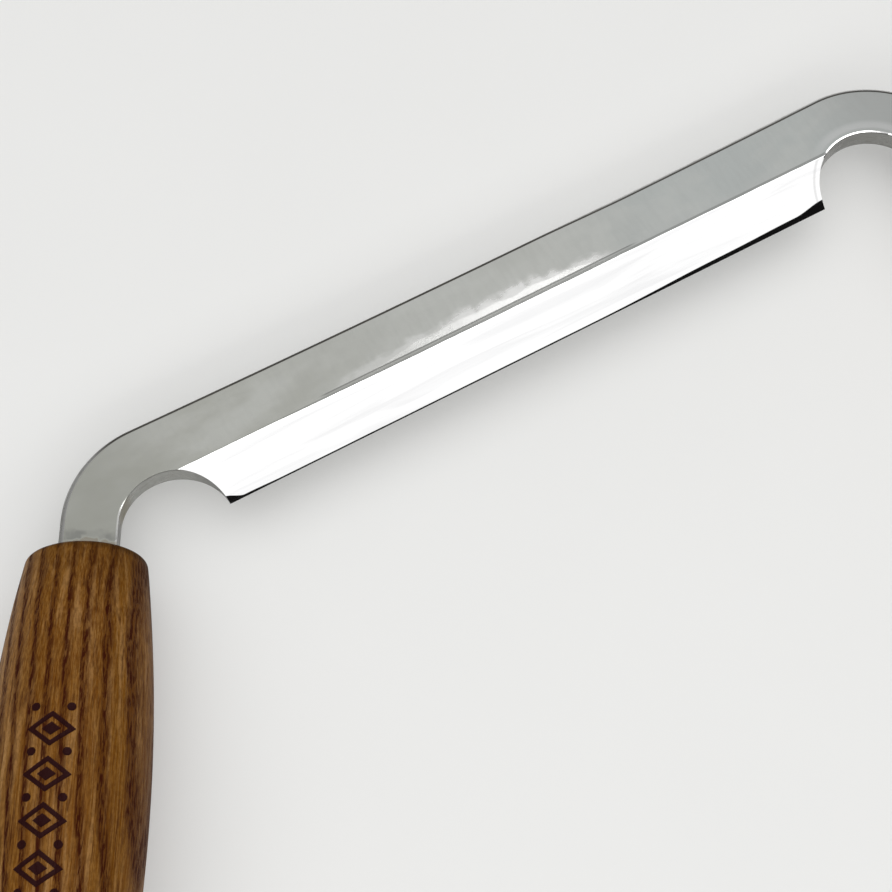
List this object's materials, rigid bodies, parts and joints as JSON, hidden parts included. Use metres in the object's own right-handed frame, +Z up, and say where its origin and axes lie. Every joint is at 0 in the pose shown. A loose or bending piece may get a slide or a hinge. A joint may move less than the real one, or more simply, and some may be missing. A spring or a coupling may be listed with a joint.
{
  "type": "drawknife",
  "caption": "Two-handled drawknife: a bevelled steel blade with half-round notches, bent necks and hidden tangs bedded in splayed, barrel-shaped ash handles.",
  "frame": {"origin": "middle of the tool's bounding box in X and Y, at the level of the surface that the bellies of the two handles stand on", "axes": "+X along the cutting edge, left handle to right handle as seen by the user; +Y from the handles towards the spine; +Z up, bevelled face up. The flat back is tipped about 9 degrees, spine down, as the tool balances on its handles"},
  "size_m": [0.3274, 0.1188, 0.0374],
  "materials": {
    "polished_steel": "satin polished faces with fine scratches, mirror polished bevel",
    "oiled_ash": "oiled open-grained ash, grain along the handle, low sheen",
    "bedding_resin": "hardened amber resin, hidden in the bore"
  },
  "bodies": {
    "root": {"blade": "polished_steel", "handle_left": "oiled_ash", "handle_right": "oiled_ash", "tang_bedding_left": "bedding_resin", "tang_bedding_right": "bedding_resin"}
  },
  "joints": []
}
